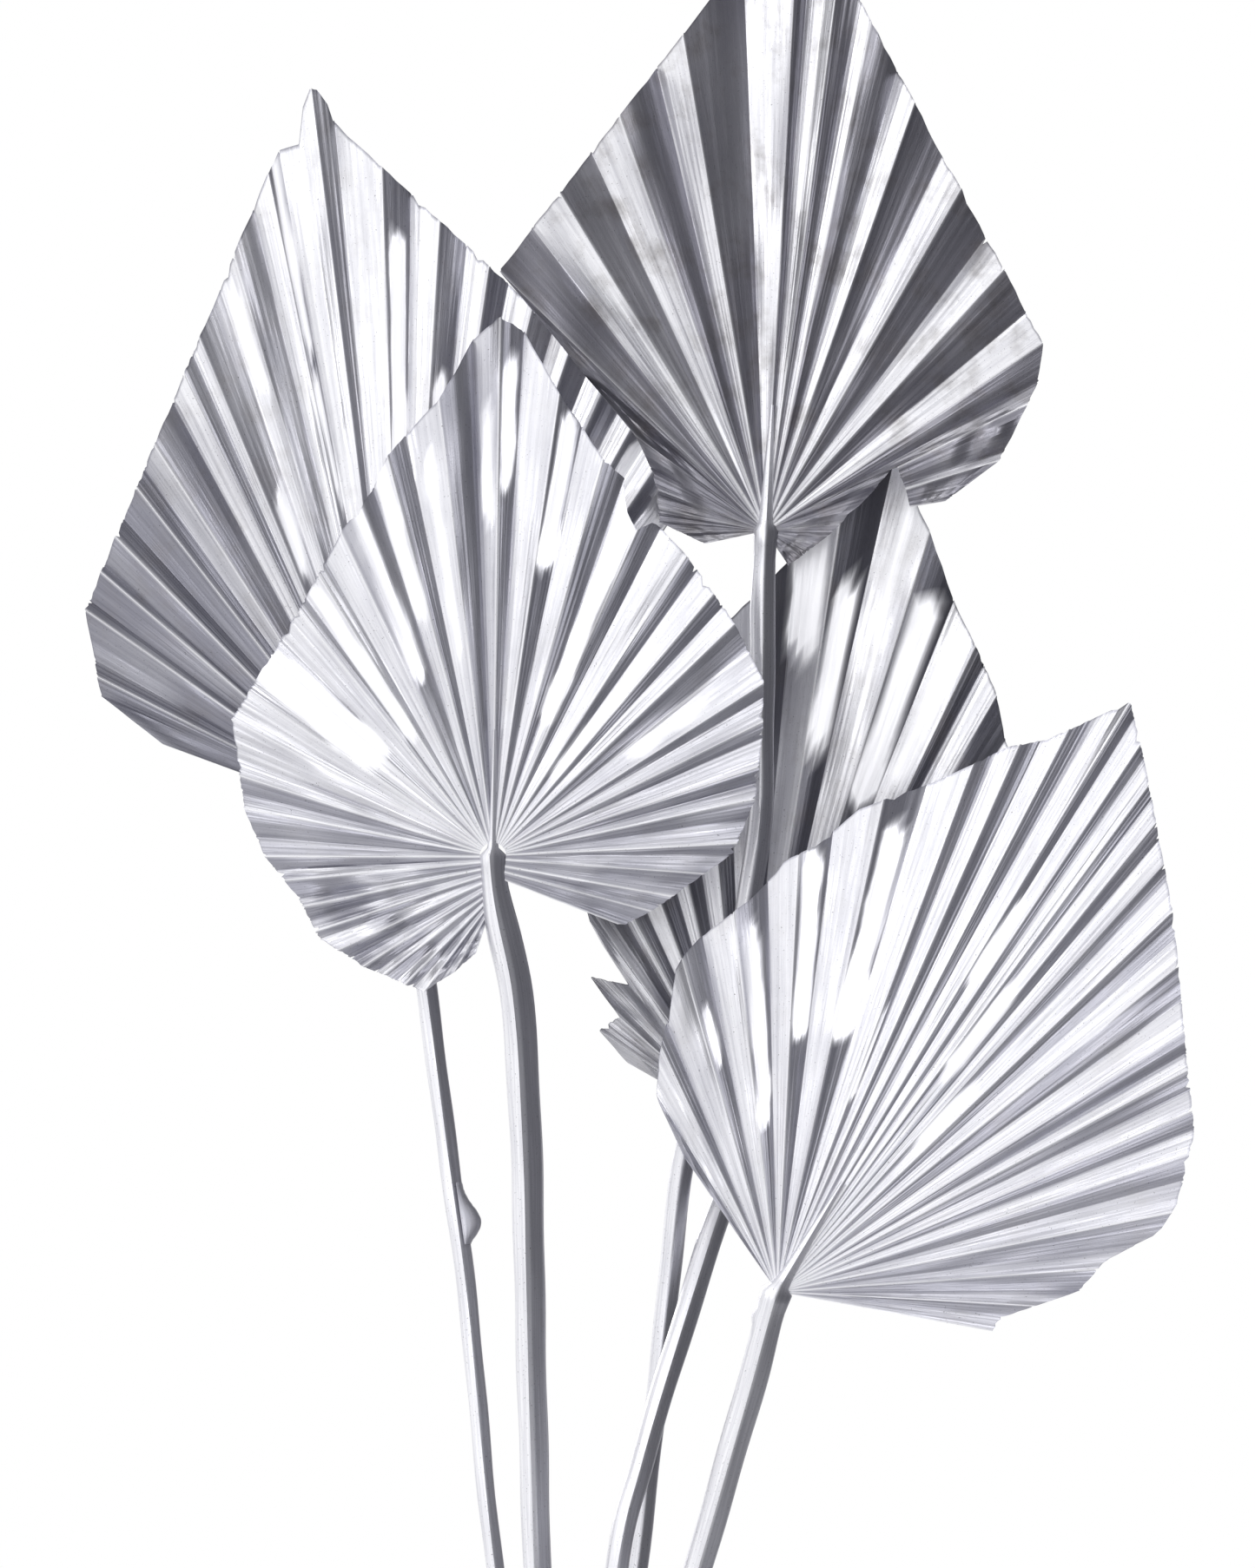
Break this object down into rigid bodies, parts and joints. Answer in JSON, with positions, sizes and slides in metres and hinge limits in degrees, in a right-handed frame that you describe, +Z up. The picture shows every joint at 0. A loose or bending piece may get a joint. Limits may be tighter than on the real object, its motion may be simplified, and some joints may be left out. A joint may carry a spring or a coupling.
{
  "type": "dried palm leaf bunch",
  "caption": "Bunch of dried pleated fan palm leaves on thin stems, painted silver and tied with wound twine, for a vase or a wall spray.",
  "frame": {"origin": "middle of the twine tie, between the stems", "axes": "+Z up along the tied stems towards the leaves, +X to the right of the bunch as it is looked at, -Y to its front"},
  "size_m": [0.2556, 0.0754, 0.5484],
  "materials": {
    "silver_leaf": "metallic silver spray paint on dried palm leaf, semi-gloss",
    "silver_stem": "metallic silver spray paint on dried palm stem, semi-gloss",
    "jute_twine": "natural jute, matt"
  },
  "bodies": {
    "tie": {"twine_tie": "jute_twine"},
    "front_right_leaf": {"front_right_blade": "silver_leaf", "front_right_rib": "silver_stem", "front_right_knuckle": "silver_stem", "front_right_stem": "silver_stem"},
    "top_right_leaf": {"top_right_blade": "silver_leaf", "top_right_rib": "silver_stem", "top_right_knuckle": "silver_stem", "top_right_stem": "silver_stem"},
    "rear_left_leaf": {"rear_left_blade": "silver_leaf", "rear_left_rib": "silver_stem", "rear_left_knuckle": "silver_stem", "rear_left_stem": "silver_stem", "rear_left_sheath": "silver_stem"},
    "front_left_leaf": {"front_left_blade": "silver_leaf", "front_left_rib": "silver_stem", "front_left_knuckle": "silver_stem", "front_left_stem": "silver_stem"},
    "rear_right_leaf": {"rear_right_blade": "silver_leaf", "rear_right_rib": "silver_stem", "rear_right_knuckle": "silver_stem", "rear_right_stem": "silver_stem"}
  },
  "joints": [
    {"name": "front_right_slide", "type": "slide", "parent": "tie", "child": "front_right_leaf", "axis": [0, 0, 1], "range_m": [-0.006, 0.03]},
    {"name": "top_right_slide", "type": "slide", "parent": "tie", "child": "top_right_leaf", "axis": [0, 0, 1], "range_m": [-0.004, 0.03]},
    {"name": "rear_left_slide", "type": "slide", "parent": "tie", "child": "rear_left_leaf", "axis": [0, 0, 1], "range_m": [-0.006, 0.03]},
    {"name": "front_left_slide", "type": "slide", "parent": "tie", "child": "front_left_leaf", "axis": [0, 0, 1], "range_m": [-0.006, 0.03]},
    {"name": "rear_right_slide", "type": "slide", "parent": "tie", "child": "rear_right_leaf", "axis": [0, 0, 1], "range_m": [-0.006, 0.014]}
  ]
}
